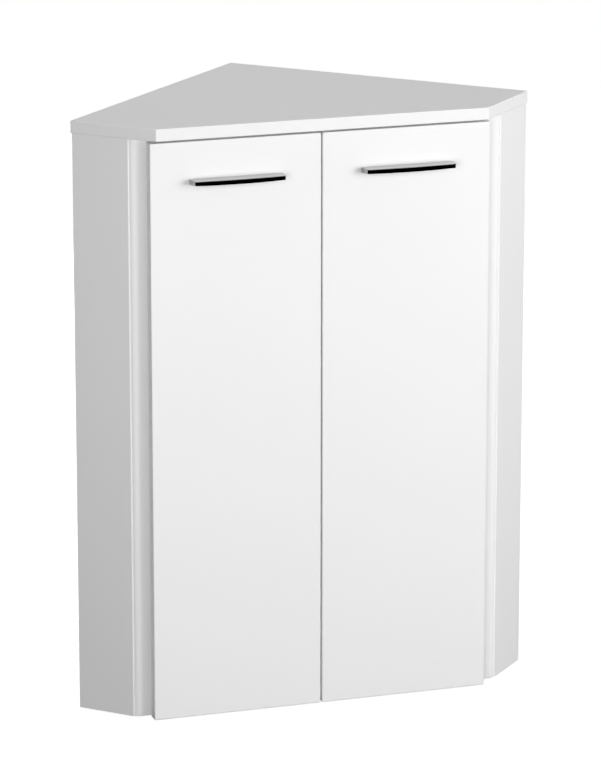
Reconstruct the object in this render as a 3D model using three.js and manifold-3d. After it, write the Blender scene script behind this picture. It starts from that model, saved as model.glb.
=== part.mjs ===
// Corner cupboard with two doors, in millimetres, +Z up. It stands in a room's corner: the doors face -Y,
// the corner edge is at the back, and the origin is on the floor under the middle of the whole box.
import * as THREE from "three";
import { mergeVertices } from "three/addons/utils/BufferGeometryUtils.js";
import Module from "manifold-3d";

const wasm = await Module();
wasm.setup();

// Driving dimensions of the case
const wallLeg = 600;
const returnDepth = 169;
const topThickness = 22;
const carcaseHeight = 1050;
const carcaseInset = 2;
const boardThickness = 18;
const backThickness = 12;
const edgeRadius = 18;
const stileReveal = 27.4;
const postSize = 34;
const railHeight = 60;
const battenWidth = 18;
const battenDepth = 62;
const shelfSetback = 10;

// Feet
const footHeight = 8;
const footDiameter = 28;
const footInset = 40;

// Doors
const doorSetback = 13;
const doorThickness = 22;
const doorTopGap = 6;
const doorDrop = 2;
const centreGap = 3;

// Handles
const handleLength = 170;
const handleProjection = 28;
const handleDrop = 66;
const handleEndHeight = 10;
const handleLipHeight = 7;
const handleLipRadius = 3;
const handleTopWall = 2;
const handleLipWall = 2.5;
const handleEndTaper = 2.5;
const handleHoleInset = 5;
const bossDiameter = 8.4;
const bossLength = 13;
const bossDrop = 5.9;
const screwDiameter = 4;
const screwReach = 9;
const screwHeadDiameter = 8;
const screwHeadHeight = 2.2;

// Cup hinges, measured from the door's outer edge and its front face
const cupDiameter = 35;
const cupEdge = 4;
const cupWall = 0.9;
const pinDiameter = 2;
const pinFromCup = 4;
const pinDepth = 11;
const knuckleWall = 0.8;
const armWidth = 9;
const armSheet = 1.7;
const armReach = 13;
const channelWidth = 14;
const channelHeight = 9;
const channelLength = 62;
const lugWidth = 1.8;
const flangeWidth = 18;
const flangeHeight = 52;
const flangeThickness = 1.4;
const mountThickness = 4.2;
const mountLength = 44;
const mountWidth = 16;
const mountWingHeight = 48;
const mountWingWidth = 14;
const mountWingThickness = 2.4;
const mountSetback = 8;
const swingClearance = 0.4;

// Shelf pins and door bumpers
const pegShankDiameter = 4.8;
const pegShankLength = 7;
const pegHeadDiameter = 7;
const pegHeadLength = 9;
const pegFromCorner = 150;
const pegFromWall = 60;
const bumperDiameter = 9;
const bumperInset = 14;

// Clearances: between fixed pieces, round a fitted piece, and how far a cut runs past a face
const joint = 0.3;
const shelfClearance = 0.8;
const fit = 0.3;
const overrun = 5;

// Heights along the door and inside the case, as shares
const hingeHeightShares = [0.09, 0.57, 0.91];
const lowerShelfShare = 0.26;
const middleShelfShare = 0.5;
const upperShelfShare = 0.75;

// Facets of a full turn, and of half the rounded edge
const fineFacets = 28;
const smallFacets = 16;
const edgeFacets = 3;

const diagonal = Math.SQRT1_2;
const jointAngle = Math.PI / 8;

const handleHoleSpacing = handleLength - 2 * handleHoleInset;

// Hinge places that follow from the sizes above
const pinInset = cupEdge + pinFromCup;
const cupCentre = cupEdge + cupDiameter / 2;
const knuckleRadius = pinDiameter / 2 + fit + knuckleWall;
const cupFloor = pinDepth - knuckleRadius - swingClearance;
const sweptDepth = pinDepth + Math.hypot(pinInset, doorThickness - pinDepth);
const doorGap = sweptDepth - doorThickness + swingClearance;
const hingeSide = pinInset + armReach - mountThickness - joint;

// Plan places, with distances from the two walls where these are simplest
const overallDepth = (wallLeg + returnDepth) * diagonal - doorSetback + handleProjection;
const backCornerY = overallDepth / 2;
const topFrontY = backCornerY - (wallLeg + returnDepth) * diagonal;
const doorFrontY = topFrontY + doorSetback;
const carcaseFrontY = doorFrontY + doorThickness + doorGap;
const stileBackY = carcaseFrontY + boardThickness;
const battenFrontY = stileBackY + joint;
const battenBackY = battenFrontY + battenDepth;
const sideOuter = wallLeg - carcaseInset;
const sideInner = sideOuter - boardThickness;
const backInner = carcaseInset + backThickness;
const postInner = carcaseInset + postSize;

const bottomZ = footHeight;
const floorZ = bottomZ + boardThickness;
const carcaseTopZ = bottomZ + carcaseHeight;
const doorBottomZ = bottomZ - doorDrop;
const doorHeight = carcaseTopZ - doorTopGap - doorBottomZ;

const shelfBottoms = {
  lower: floorZ + (carcaseTopZ - floorZ) * lowerShelfShare,
  middle: floorZ + (carcaseTopZ - floorZ) * middleShelfShare,
  upper: floorZ + (carcaseTopZ - floorZ) * upperShelfShare,
};

const outerCorner = wallPointAt(sideOuter, carcaseFrontY);
const doorOuterX = outerCorner.x - stileReveal;
const doorWidth = doorOuterX - centreGap / 2;
const stileInnerX = doorOuterX - hingeSide;

const white = { color: 0xf1f1ef, roughness: 0.42, metalness: 0 };
const raw = { color: 0xe8e8e4, roughness: 0.6, metalness: 0 };
const chrome = { color: 0xcfd1d3, roughness: 0.12, metalness: 1 };
const steel = { color: 0xb9bbbd, roughness: 0.35, metalness: 1 };
const plastic = { color: 0xe9e9e6, roughness: 0.5, metalness: 0 };
const clear = { color: 0xdcdedd, roughness: 0.3, metalness: 0 };

// A plan point from its distances to the left wall and to the right wall
function fromWalls(fromLeft, fromRight) {
  const x = (fromLeft - fromRight) * diagonal;
  return new THREE.Vector2(x, backCornerY - (fromLeft + fromRight) * diagonal);
}

// The plan point at a distance from the left wall on the line across the room at y
function wallPointAt(fromLeft, y) {
  return fromWalls(fromLeft, (backCornerY - y) / diagonal - fromLeft);
}

function mirrorPoints(points) {
  return points.map((point) => new THREE.Vector2(-point.x, point.y)).reverse();
}

// A closed outline from its right half, which runs from the front to the back
function bothHalves(rightHalf) {
  const left = mirrorPoints(rightHalf).filter((point) => Math.abs(point.x) > joint);
  return [...rightHalf, ...left];
}

function merged(geometry) {
  const bare = geometry.clone();
  bare.deleteAttribute("normal");
  bare.deleteAttribute("uv");
  return mergeVertices(bare, 1e-4);
}

function toSolid(geometry) {
  const closed = merged(geometry);
  const vertProperties = new Float32Array(closed.attributes.position.array);
  const triVerts = new Uint32Array(closed.index.array);
  return new wasm.Manifold(new wasm.Mesh({ numProp: 3, vertProperties, triVerts }));
}

function fromSolid(solid) {
  const mesh = solid.getMesh();
  const geometry = new THREE.BufferGeometry();
  geometry.setAttribute("position", new THREE.BufferAttribute(mesh.vertProperties, 3));
  geometry.setIndex(new THREE.BufferAttribute(mesh.triVerts, 1));
  return geometry;
}

function join(first, ...others) {
  return fromSolid(others.reduce((solid, other) => solid.add(toSolid(other)), toSolid(first)));
}

function cut(first, ...others) {
  return fromSolid(others.reduce((solid, other) => solid.subtract(toSolid(other)), toSolid(first)));
}

// The mirror image across the plane x = 0, with its faces still pointing out
function mirrored(geometry) {
  const image = merged(geometry).scale(-1, 1, 1);
  const index = image.index.array;
  for (let first = 0; first < index.length; first += 3) {
    [index[first + 1], index[first + 2]] = [index[first + 2], index[first + 1]];
  }
  return image;
}

function handed(geometry, side) {
  return side < 0 ? geometry : mirrored(geometry);
}

function box(x0, x1, y0, y1, z0, z1) {
  const geometry = new THREE.BoxGeometry(x1 - x0, y1 - y0, z1 - z0);
  return geometry.translate((x0 + x1) / 2, (y0 + y1) / 2, (z0 + z1) / 2);
}

// A round bar along Y between two places on it
function rodY(diameter, y0, y1, x, z, facets) {
  const geometry = new THREE.CylinderGeometry(diameter / 2, diameter / 2, y1 - y0, facets);
  return geometry.translate(x, (y0 + y1) / 2, z);
}

function rodZ(diameter, length, x, y, facets) {
  const geometry = new THREE.CylinderGeometry(diameter / 2, diameter / 2, length, facets);
  return geometry.rotateX(Math.PI / 2).translate(x, y, 0);
}

function upright(outline, height) {
  const shape = new THREE.Shape(outline);
  return new THREE.ExtrudeGeometry(shape, { depth: height, bevelEnabled: false });
}

function piece(name, geometry, look) {
  const material = new THREE.MeshStandardMaterial({ ...look, flatShading: true });
  const mesh = new THREE.Mesh(geometry, material);
  mesh.name = name;
  return mesh;
}

function board(name, outline, bottom, top, look) {
  const mesh = piece(name, upright(outline, top - bottom), look);
  mesh.position.z = bottom;
  return mesh;
}

function sideName(side) {
  return side < 0 ? "left" : "right";
}

function sideOutline(rightOutline, side) {
  return side < 0 ? mirrorPoints(rightOutline) : rightOutline;
}

function topPlate() {
  const rightHalf = [
    fromWalls(wallLeg, returnDepth),
    fromWalls(wallLeg, 0),
    fromWalls(0, 0),
  ];
  return board("top_plate", bothHalves(rightHalf), carcaseTopZ, carcaseTopZ + topThickness, white);
}

// Points of the rounded front edge between two directions, seen from above
function edgeArc(fromAngle, toAngle) {
  const centre = wallPointAt(sideOuter - edgeRadius, carcaseFrontY + edgeRadius);
  const points = [];
  for (let step = 0; step <= edgeFacets; step += 1) {
    const angle = fromAngle + ((toAngle - fromAngle) * step) / edgeFacets;
    const spoke = new THREE.Vector2(Math.cos(angle), Math.sin(angle)).multiplyScalar(edgeRadius);
    points.push(centre.clone().add(spoke));
  }
  return points;
}

const forward = -Math.PI / 2;
const mitre = forward + jointAngle;
const mitreSlip = joint / 2 / edgeRadius;
const mitreShift = joint / 2 / Math.cos(jointAngle);

// The front strip of each side, mitred to the side panel inside the rounded edge
function frontStile(side) {
  const innerCorner = wallPointAt(sideInner, stileBackY);
  const outline = [
    new THREE.Vector2(stileInnerX, carcaseFrontY),
    ...edgeArc(forward, mitre - mitreSlip),
    new THREE.Vector2(innerCorner.x - mitreShift, stileBackY),
    new THREE.Vector2(stileInnerX, stileBackY),
  ];
  return board(`${sideName(side)}_front_stile`, sideOutline(outline, side), bottomZ, carcaseTopZ, white);
}

// A hole for a shelf peg, bored square to a wall-parallel or return-parallel face
function pegHole(place, height, turn) {
  const depth = pegShankLength + fit;
  const bore = rodY(pegShankDiameter + 2 * fit, -overrun, depth, 0, 0, smallFacets);
  return bore.rotateZ(turn).translate(place.x, place.y, height);
}

function sidePegPlace() {
  return fromWalls(sideInner, backInner + pegFromWall);
}

function backPegPlace() {
  return fromWalls(backInner + pegFromCorner, backInner);
}

const sidePegTurn = -Math.PI * 0.75;
const backPegTurn = -Math.PI / 4;

function pegHeight(level) {
  return shelfBottoms[level] - pegHeadDiameter / 2 - fit;
}

function withPegHoles(geometry, place, turn) {
  const holes = ["lower", "upper"].map((level) => pegHole(place, pegHeight(level) - bottomZ, turn));
  return cut(geometry, ...holes);
}

function sidePanel(side) {
  const innerEnd = wallPointAt(sideInner, stileBackY);
  const shift = new THREE.Vector2(mitreShift * diagonal, mitreShift * diagonal);
  const outline = [
    ...edgeArc(mitre + mitreSlip, forward + 2 * jointAngle),
    fromWalls(sideOuter, carcaseInset),
    fromWalls(sideInner, carcaseInset),
    innerEnd.clone().add(shift),
  ];
  const slab = withPegHoles(upright(outline, carcaseHeight), sidePegPlace(), sidePegTurn);
  const mesh = piece(`${sideName(side)}_side_panel`, side < 0 ? mirrored(slab) : slab, white);
  mesh.position.z = bottomZ;
  return mesh;
}

function backPanel(side) {
  const outline = [
    fromWalls(postInner + joint, carcaseInset),
    fromWalls(postInner + joint, backInner),
    fromWalls(sideInner - joint, backInner),
    fromWalls(sideInner - joint, carcaseInset),
  ];
  const slab = withPegHoles(upright(outline, carcaseHeight), backPegPlace(), backPegTurn);
  const mesh = piece(`${sideName(side)}_back_panel`, side < 0 ? mirrored(slab) : slab, raw);
  mesh.position.z = bottomZ;
  return mesh;
}

function cornerPost() {
  const rightHalf = [
    fromWalls(postInner, postInner),
    fromWalls(postInner, carcaseInset),
    fromWalls(carcaseInset, carcaseInset),
  ];
  return board("rear_corner_post", bothHalves(rightHalf), bottomZ, carcaseTopZ, raw);
}

// The back edges that the bottom board and the shelves share, with a clearance to walls and post
function wallSideOutline(clearance) {
  return [
    fromWalls(sideInner - clearance, backInner + clearance),
    fromWalls(postInner + clearance, backInner + clearance),
    fromWalls(postInner + clearance, postInner + clearance),
  ];
}

function bottomBoard() {
  const rightHalf = [
    new THREE.Vector2(stileInnerX - joint, carcaseFrontY),
    new THREE.Vector2(stileInnerX - joint, stileBackY + joint),
    wallPointAt(sideInner - joint, stileBackY + joint),
    ...wallSideOutline(joint),
  ];
  return board("bottom_board", bothHalves(rightHalf), bottomZ, floorZ, white);
}

// A shelf, notched round the battens that carry the hinges
function shelf(level) {
  const frontY = stileBackY + shelfSetback;
  const battenOuterX = stileInnerX + battenWidth;
  const rightHalf = [
    new THREE.Vector2(stileInnerX - shelfClearance, frontY),
    new THREE.Vector2(stileInnerX - shelfClearance, battenBackY + shelfClearance),
    new THREE.Vector2(battenOuterX + shelfClearance, battenBackY + shelfClearance),
    new THREE.Vector2(battenOuterX + shelfClearance, frontY),
    wallPointAt(sideInner - shelfClearance, frontY),
    ...wallSideOutline(shelfClearance),
  ];
  const bottom = shelfBottoms[level];
  return board(`${level}_shelf`, bothHalves(rightHalf), bottom, bottom + boardThickness, white);
}

function topRail() {
  const reach = stileInnerX - joint;
  const slab = box(-reach, reach, carcaseFrontY, stileBackY, carcaseTopZ - railHeight, carcaseTopZ);
  return piece("top_rail", slab, white);
}

function hingeBatten(side) {
  const slab = box(stileInnerX, stileInnerX + battenWidth, battenFrontY, battenBackY, floorZ, carcaseTopZ);
  return piece(`${sideName(side)}_hinge_batten`, handed(slab, -side), raw);
}

function feet() {
  const places = {
    rear_foot: fromWalls(footInset, footInset),
    left_foot: fromWalls(footInset, sideInner - footInset),
    right_foot: fromWalls(sideInner - footInset, footInset),
    front_left_foot: new THREE.Vector2(footInset - stileInnerX, carcaseFrontY + footInset),
    front_right_foot: new THREE.Vector2(stileInnerX - footInset, carcaseFrontY + footInset),
  };
  return Object.entries(places).map(([name, place]) => {
    const puck = new THREE.CylinderGeometry(footDiameter / 2, footDiameter / 2, footHeight, fineFacets);
    const mesh = piece(name, puck.rotateX(Math.PI / 2), plastic);
    mesh.position.set(place.x, place.y, footHeight / 2);
    return mesh;
  });
}

// A shelf peg along Y: the shank goes into the board and the head carries the shelf
function pegGeometry() {
  const profile = [
    new THREE.Vector2(0, -joint - pegHeadLength),
    new THREE.Vector2(pegHeadDiameter / 2, -joint - pegHeadLength),
    new THREE.Vector2(pegHeadDiameter / 2, -joint),
    new THREE.Vector2(pegShankDiameter / 2, -joint),
    new THREE.Vector2(pegShankDiameter / 2, pegShankLength),
    new THREE.Vector2(0, pegShankLength),
  ];
  return new THREE.LatheGeometry(profile, smallFacets);
}

function pegs(side) {
  const seats = {
    side: { place: sidePegPlace(), turn: sidePegTurn },
    back: { place: backPegPlace(), turn: backPegTurn },
  };
  const made = [];
  for (const level of ["lower", "upper"]) {
    for (const [seatName, seat] of Object.entries(seats)) {
      const mesh = piece(`${level}_${sideName(side)}_${seatName}_peg`, pegGeometry(), steel);
      mesh.position.set(side * seat.place.x, seat.place.y, pegHeight(level));
      mesh.rotation.z = side * seat.turn;
      made.push(mesh);
    }
  }
  return made;
}

// Everything from here on is in the frame of the left door's lower outer front corner: x runs along the
// door from its outer edge, y from its front face to the back. The right door is its mirror image.
function doorFrame(side) {
  const frame = new THREE.Group();
  frame.position.set(side * doorOuterX, doorFrontY, doorBottomZ);
  return frame;
}

function handleScrewPlaces() {
  const height = doorHeight - handleDrop - bossDrop;
  return [-1, 1].map((end) => ({ x: doorWidth / 2 + (end * handleHoleSpacing) / 2, z: height }));
}

function doorSlab(side) {
  const slab = box(0, doorWidth, 0, doorThickness, 0, doorHeight);
  const behind = doorThickness + overrun;
  const cupBore = cupDiameter + 2 * fit;
  const boreEnd = cupFloor - cupWall - fit;
  const cups = hingeHeightShares.map((share) => {
    return rodY(cupBore, boreEnd, behind, cupCentre, share * doorHeight, fineFacets);
  });
  const screwHoles = handleScrewPlaces().map(({ x, z }) => {
    return rodY(screwDiameter + 2 * fit, -overrun, behind, x, z, smallFacets);
  });
  return piece(`${sideName(side)}_door`, handed(cut(slab, ...cups, ...screwHoles), side), white);
}

// The pull's cross-section: across is how far it stands out from the door, up is height
function pullSection(points) {
  return new THREE.Shape(points.map(([across, up]) => new THREE.Vector2(across, up)));
}

function alongDoor(shape, length) {
  const bar = new THREE.ExtrudeGeometry(shape, { depth: length, bevelEnabled: false });
  const axes = new THREE.Matrix4().makeBasis(
    new THREE.Vector3(0, -1, 0),
    new THREE.Vector3(0, 0, 1),
    new THREE.Vector3(-1, 0, 0),
  );
  return bar.applyMatrix4(axes).translate(length / 2, 0, 0);
}

// Draws the ends in towards the lip, so that the pull is a little shorter at its front
function taperEnds(geometry) {
  const places = geometry.attributes.position;
  for (let each = 0; each < places.count; each += 1) {
    const outward = -places.getY(each) / handleProjection;
    const scale = 1 - (2 * handleEndTaper * outward) / handleLength;
    places.setX(each, places.getX(each) * scale);
  }
  return geometry;
}

function pullShell() {
  const lipArc = [0, 1, 2, 3].map((step) => {
    const angle = (Math.PI / 2) * (1 - step / 3);
    const across = handleProjection - handleLipRadius * (1 - Math.cos(angle));
    return [across, -handleLipRadius * (1 - Math.sin(angle))];
  });
  const outside = pullSection([
    [0, -handleEndHeight],
    [handleProjection, -handleLipHeight],
    ...lipArc.reverse(),
    [0, 0],
  ]);
  const hollowFront = handleProjection - handleLipWall;
  const below = -handleEndHeight - overrun;
  const hollow = pullSection([
    [-overrun, below],
    [hollowFront, below],
    [hollowFront, -handleTopWall],
    [-overrun, -handleTopWall],
  ]);
  const shell = taperEnds(merged(alongDoor(outside, handleLength)));
  return cut(shell, taperEnds(merged(alongDoor(hollow, handleLength - 2 * handleLipWall))));
}

function handle(side) {
  const screwBore = screwDiameter + 2 * fit;
  let shell = pullShell();
  for (const end of [-1, 1]) {
    const x = (end * handleHoleSpacing) / 2;
    shell = join(shell, rodY(bossDiameter, -bossLength, 0, x, -bossDrop, smallFacets));
    shell = cut(shell, rodY(screwBore, -screwReach - fit, overrun, x, -bossDrop, smallFacets));
  }
  const mesh = piece(`${sideName(side)}_handle`, shell, chrome);
  mesh.position.set((-side * doorWidth) / 2, 0, doorHeight - handleDrop);
  return mesh;
}

function handleScrews(side) {
  const back = doorThickness + screwHeadHeight;
  const profile = [
    new THREE.Vector2(0, -screwReach),
    new THREE.Vector2(screwDiameter / 2, -screwReach),
    new THREE.Vector2(screwDiameter / 2, doorThickness),
    new THREE.Vector2(screwHeadDiameter / 2, doorThickness),
    new THREE.Vector2(screwHeadDiameter / 2, back),
    new THREE.Vector2(0, back),
  ];
  return handleScrewPlaces().map(({ x, z }, index) => {
    const name = `${sideName(side)}_handle_screw_${index + 1}`;
    const mesh = piece(name, new THREE.LatheGeometry(profile, smallFacets), steel);
    mesh.position.set(-side * x, 0, z);
    return mesh;
  });
}

// The steel cup in the door, with its screw flange, the two lugs and the pin between them
function hingeCup(side, index) {
  const radius = cupDiameter / 2;
  const profile = [
    new THREE.Vector2(0, cupFloor - cupWall),
    new THREE.Vector2(radius, cupFloor - cupWall),
    new THREE.Vector2(radius, doorThickness + flangeThickness),
    new THREE.Vector2(radius - cupWall, doorThickness + flangeThickness),
    new THREE.Vector2(radius - cupWall, cupFloor),
    new THREE.Vector2(0, cupFloor),
  ];
  const pot = new THREE.LatheGeometry(profile, fineFacets).translate(cupCentre, 0, 0);
  const wallMiddle = radius - cupWall / 2;
  const [mouthFront, mouthBack] = [doorThickness - overrun, doorThickness + overrun];
  const mouth = rodY(2 * wallMiddle, mouthFront, mouthBack, cupCentre, 0, fineFacets);
  const wings = box(
    cupCentre - flangeWidth / 2, cupCentre + flangeWidth / 2,
    doorThickness, doorThickness + flangeThickness,
    -flangeHeight / 2, flangeHeight / 2,
  );
  const inside = armWidth / 2 + fit;
  const outside = inside + lugWidth;
  const lugStart = cupCentre - Math.sqrt(wallMiddle ** 2 - outside ** 2);
  const lugs = [-1, 1].map((end) => {
    const faces = [end * inside, end * outside].sort((a, b) => a - b);
    return box(lugStart, pinInset + pinDiameter, cupFloor - cupWall / 2, pinDepth + pinDiameter, ...faces);
  });
  const pin = rodZ(pinDiameter, 2 * inside + lugWidth, pinInset, pinDepth, smallFacets);
  const cup = join(pot, cut(wings, mouth), ...lugs, pin);
  const mesh = piece(`${sideName(side)}_hinge_cup_${index + 1}`, handed(cup, side), steel);
  mesh.position.z = hingeHeightShares[index] * doorHeight;
  return mesh;
}

// The arm is bent like a gooseneck, so that the door's edge swings into its bend
function hingeArm(side, index) {
  const legFront = pinDepth - knuckleRadius;
  const legX = pinInset + armReach;
  const half = armWidth / 2;
  const channelFront = doorThickness + doorGap + joint * 2;
  const knuckle = rodZ(2 * knuckleRadius, armWidth, pinInset, pinDepth, smallFacets);
  const firstLeg = box(pinInset, legX + armSheet, legFront, legFront + armSheet, -half, half);
  const backLeg = box(legX, legX + armSheet, legFront, channelFront + armSheet, -half, half);
  const channel = box(
    legX, legX + channelHeight,
    channelFront, channelFront + channelLength,
    -channelWidth / 2, channelWidth / 2,
  );
  const bore = rodZ(pinDiameter + 2 * fit, armWidth + 2 * overrun, pinInset, pinDepth, smallFacets);
  const arm = cut(join(firstLeg, knuckle, backLeg, channel), bore);
  const mesh = piece(`${sideName(side)}_hinge_arm_${index + 1}`, handed(arm, side), steel);
  mesh.position.z = hingeHeightShares[index] * doorHeight;
  return mesh;
}

// The mounting plate between the arm and the batten
function hingeMount(side, index) {
  const front = doorThickness + doorGap + mountSetback;
  const middle = front + mountLength / 2;
  const inner = hingeSide + joint;
  const block = box(
    inner, hingeSide + mountThickness,
    front, front + mountLength,
    -mountWidth / 2, mountWidth / 2,
  );
  const wings = box(
    inner, inner + mountWingThickness,
    middle - mountWingWidth / 2, middle + mountWingWidth / 2,
    -mountWingHeight / 2, mountWingHeight / 2,
  );
  const mesh = piece(`${sideName(side)}_hinge_mount_${index + 1}`, handed(join(block, wings), side), steel);
  mesh.position.z = hingeHeightShares[index] * doorHeight;
  return mesh;
}

function bumpers(side) {
  const thickness = doorGap - fit;
  const heights = { lower: bottomZ + boardThickness / 2 - doorBottomZ, upper: doorHeight - bumperInset };
  return Object.entries(heights).map(([level, height]) => {
    const pad = rodY(bumperDiameter, doorThickness, doorThickness + thickness, 0, 0, smallFacets);
    const mesh = piece(`${sideName(side)}_${level}_bumper`, pad, clear);
    mesh.position.set(-side * (doorWidth - bumperInset), 0, height);
    return mesh;
  });
}

const cupboard = new THREE.Group();
cupboard.add(topPlate(), topRail(), bottomBoard(), cornerPost(), ...feet());
for (const level of Object.keys(shelfBottoms)) {
  cupboard.add(shelf(level));
}
for (const side of [-1, 1]) {
  cupboard.add(sidePanel(side), frontStile(side), backPanel(side), hingeBatten(side), ...pegs(side));
  const frame = doorFrame(side);
  frame.add(doorSlab(side), handle(side), ...handleScrews(side), ...bumpers(side));
  hingeHeightShares.forEach((share, index) => {
    frame.add(hingeCup(side, index), hingeArm(side, index), hingeMount(side, index));
  });
  cupboard.add(frame);
}

export default cupboard;
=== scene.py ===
import math

import bmesh
import bpy
import numpy as np
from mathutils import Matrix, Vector
from mathutils.geometry import tessellate_polygon


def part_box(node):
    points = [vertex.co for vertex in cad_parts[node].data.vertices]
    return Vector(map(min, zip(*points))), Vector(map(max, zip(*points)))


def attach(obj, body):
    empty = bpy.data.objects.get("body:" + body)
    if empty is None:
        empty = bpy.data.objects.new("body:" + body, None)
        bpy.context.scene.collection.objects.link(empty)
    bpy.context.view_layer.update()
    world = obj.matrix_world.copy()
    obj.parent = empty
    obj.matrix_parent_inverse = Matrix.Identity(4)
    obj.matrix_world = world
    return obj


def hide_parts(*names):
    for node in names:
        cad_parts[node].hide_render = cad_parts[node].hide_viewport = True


# The white corner cupboard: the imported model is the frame, and every shown piece below is made in the same
# frame, in metres. Left and right are as seen from the front. The left pieces are mirror images.
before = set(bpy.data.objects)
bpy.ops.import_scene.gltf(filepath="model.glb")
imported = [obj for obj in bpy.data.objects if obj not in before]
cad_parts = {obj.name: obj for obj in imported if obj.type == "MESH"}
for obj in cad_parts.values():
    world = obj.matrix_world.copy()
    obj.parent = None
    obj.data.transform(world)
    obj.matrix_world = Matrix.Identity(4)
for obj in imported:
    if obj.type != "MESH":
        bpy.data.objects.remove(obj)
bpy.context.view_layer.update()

MM = 0.001
SIDES = {"left": -1, "right": 1}

# The case in plan. Distances from the two walls are used where these are simplest
WALL_LEG = 600 * MM
CASE_INSET = 2 * MM
BOARD = 18 * MM
BACK_BOARD = 12 * MM
POST = 34 * MM
BATTEN_WIDTH = 18 * MM
FIXED_GAP = 0.3 * MM
SHELF_GAP = 0.8 * MM

# Easing of the boards' edges
PLATE_EASE = 1.1 * MM
DOOR_EASE = 1.2 * MM
SHELF_EASE = 0.7 * MM
CASE_EASE = 0.5 * MM
SAWN_EASE = 0.3 * MM
HOLD = 0.5 * MM
FINE_HOLD = 0.1 * MM
BORE_BEVEL = 0.3 * MM
LARGE_BORE = 5 * MM

# Corners of the boards, as seen on their faces
PLATE_CORNER = 2 * MM
CASE_CORNER = 2 * CASE_EASE
BACK_CORNER = 3 * SAWN_EASE
POST_CORNER = 2 * MM
BOTTOM_CORNER = 1.2 * MM
SHELF_CORNER = 1.4 * MM
RAIL_CORNER = 1.2 * MM
BATTEN_CORNER = 1.6 * MM
DOOR_CORNER = 1.8 * MM

# How fine round shapes are, and the flat that closes a turned one. Faces that meet at more than the sharp
# angle show an edge, and points closer than the merging distance become one. A step of 1 along a wall is the
# diagonal along X and along Y
FACETS = {
    "large bore": 40, "small bore": 16, "head": 40, "boss": 24, "screw": 16, "cup": 48, "pin": 16, "curl": 28,
    "peg": 24, "foot": 56, "bumper": 36, "floor": 64,
}
POLE = 0.5 * MM
SHARP_ANGLE = math.radians(38)
MERGED = 1e-7
DIAGONAL = math.sqrt(0.5)

# The rounded front edge, with the groove where front strip and side panel meet: how far its bottom is behind
# each of them
STRIP_ROUNDING = 13 * MM
STRIP_ROLL_DEPTH = 4 * MM
PANEL_ROUNDING = 2.6 * MM
PANEL_ROLL_DEPTH = 2 * MM

# The pull
PULL_TOP_WALL = 2 * MM
PULL_LIP_WALL = 2.5 * MM
PULL_CHEEK = 2.5 * MM
PULL_ROUNDING = 0.7 * MM
PULL_TAPER = 2.5 * MM
PULL_CORNER = 2.2 * MM
PULL_BOW = 1.8 * MM
LIP_HEIGHT = 8.6 * MM
LIP_TAPER = 1.2 * MM
END_HEIGHT = 10 * MM
BOSS_DIAMETER = 7 * MM
BOSS_LENGTH = 13 * MM
BOSS_EASE = 0.5 * MM
PULL_RINGS = 15
CHEEK_SHARES = (0.6, 0.3)

# Hinges, in the door's own frame: x runs in from its outer edge and y back from its front face
CUP_DIAMETER = 35 * MM
CUP_CENTRE = 21.5 * MM
CUP_FLOOR = 8.5 * MM
CUP_WALL = 0.9 * MM
POT_INSET = 0.1 * MM
POT_ROUNDING = 1.2 * MM
POT_INNER_ROUNDING = 1 * MM
RIM_ROUNDING = 0.4 * MM
RIM_INNER_ROUNDING = 0.3 * MM
PIN_X = 8 * MM
PIN_Y = 11 * MM
PIN_DIAMETER = 2 * MM
PIN_GAP = 0.15 * MM
KNUCKLE_RADIUS = 2.1 * MM
KNUCKLE_EASE = 0.2 * MM
KNUCKLE_REACH = 4 * MM
NECK_BEND = 2.4 * MM
NECK_EASE = 0.3 * MM
ARM_WIDTH = 9 * MM
ARM_SHEET = 1.7 * MM
ARM_REACH = 13 * MM
CHANNEL_WIDTH = 14 * MM
CHANNEL_HEIGHT = 9 * MM
CHANNEL_LENGTH = 62 * MM
CHANNEL_WALL = 1.3 * MM
CHANNEL_RAMP = 18 * MM
CHANNEL_EASE = 0.25 * MM
FOLD_EDGE = 0.3 * MM
FOLD_OUTER = 1.6 * MM
FOLD_INNER = 0.6 * MM
FLANGE_WIDTH = 18 * MM
FLANGE_HEIGHT = 52 * MM
FLANGE_THICKNESS = 1.4 * MM
FLANGE_SCREW = 22 * MM
FLANGE_SCREW_HEAD = 6.8 * MM
FLANGE_HEAD_HEIGHT = 0.9 * MM
FLANGE_ROUNDING = 7 * MM
FLANGE_EASE = 0.35 * MM
LUG_WIDTH = 1.8 * MM
LUG_ROUNDING = 0.9 * MM
LUG_EASE = 0.15 * MM
BLOCK_WIDTH = 16 * MM
BLOCK_ROUNDING = 2.5 * MM
BLOCK_EASE = 0.6 * MM
WING_WIDTH = 14 * MM
WING_THICKNESS = 2.4 * MM
WING_ROUNDING = 5 * MM
WING_EASE = 0.4 * MM
WING_SCREW_HEAD = 7.6 * MM
SET_SCREW_HEADS = (6 * MM, 6.8 * MM)
SET_SCREW_PAST_RAMP = 6 * MM
SET_SCREW_FROM_END = 12 * MM
LOW_HEAD = 1.1 * MM
SUNK = 0.1 * MM

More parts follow.
